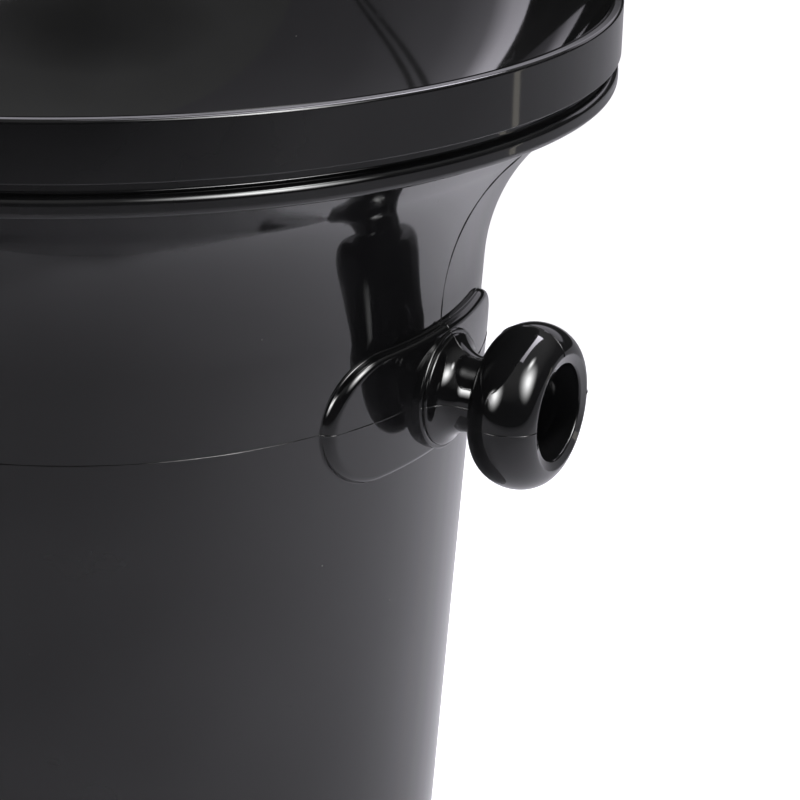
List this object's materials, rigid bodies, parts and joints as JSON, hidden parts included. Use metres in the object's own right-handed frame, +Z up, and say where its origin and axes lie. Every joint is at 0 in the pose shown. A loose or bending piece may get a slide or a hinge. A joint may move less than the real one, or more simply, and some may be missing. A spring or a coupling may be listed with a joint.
{
  "type": "tasting spittoon",
  "caption": "Tapered gloss plastic bucket with a flared mouth, round knob handles on oval pads, and a drop-on funnel lid that drains into it.",
  "frame": {"origin": "middle of the foot ring's resting plane", "axes": "+Z up, the knob handles lie on +X and -X"},
  "size_m": [0.2074, 0.206, 0.212],
  "materials": {
    "bucket_plastic": "mirror gloss, moulded",
    "lid_plastic": "mirror gloss, moulded"
  },
  "bodies": {
    "bucket": {"bucket": "bucket_plastic"},
    "lid": {"funnel_lid": "lid_plastic"}
  },
  "joints": [
    {"name": "lid_lift", "type": "slide", "parent": "bucket", "child": "lid", "axis": [0, 0, 1], "range_m": [0, 0.12]}
  ]
}
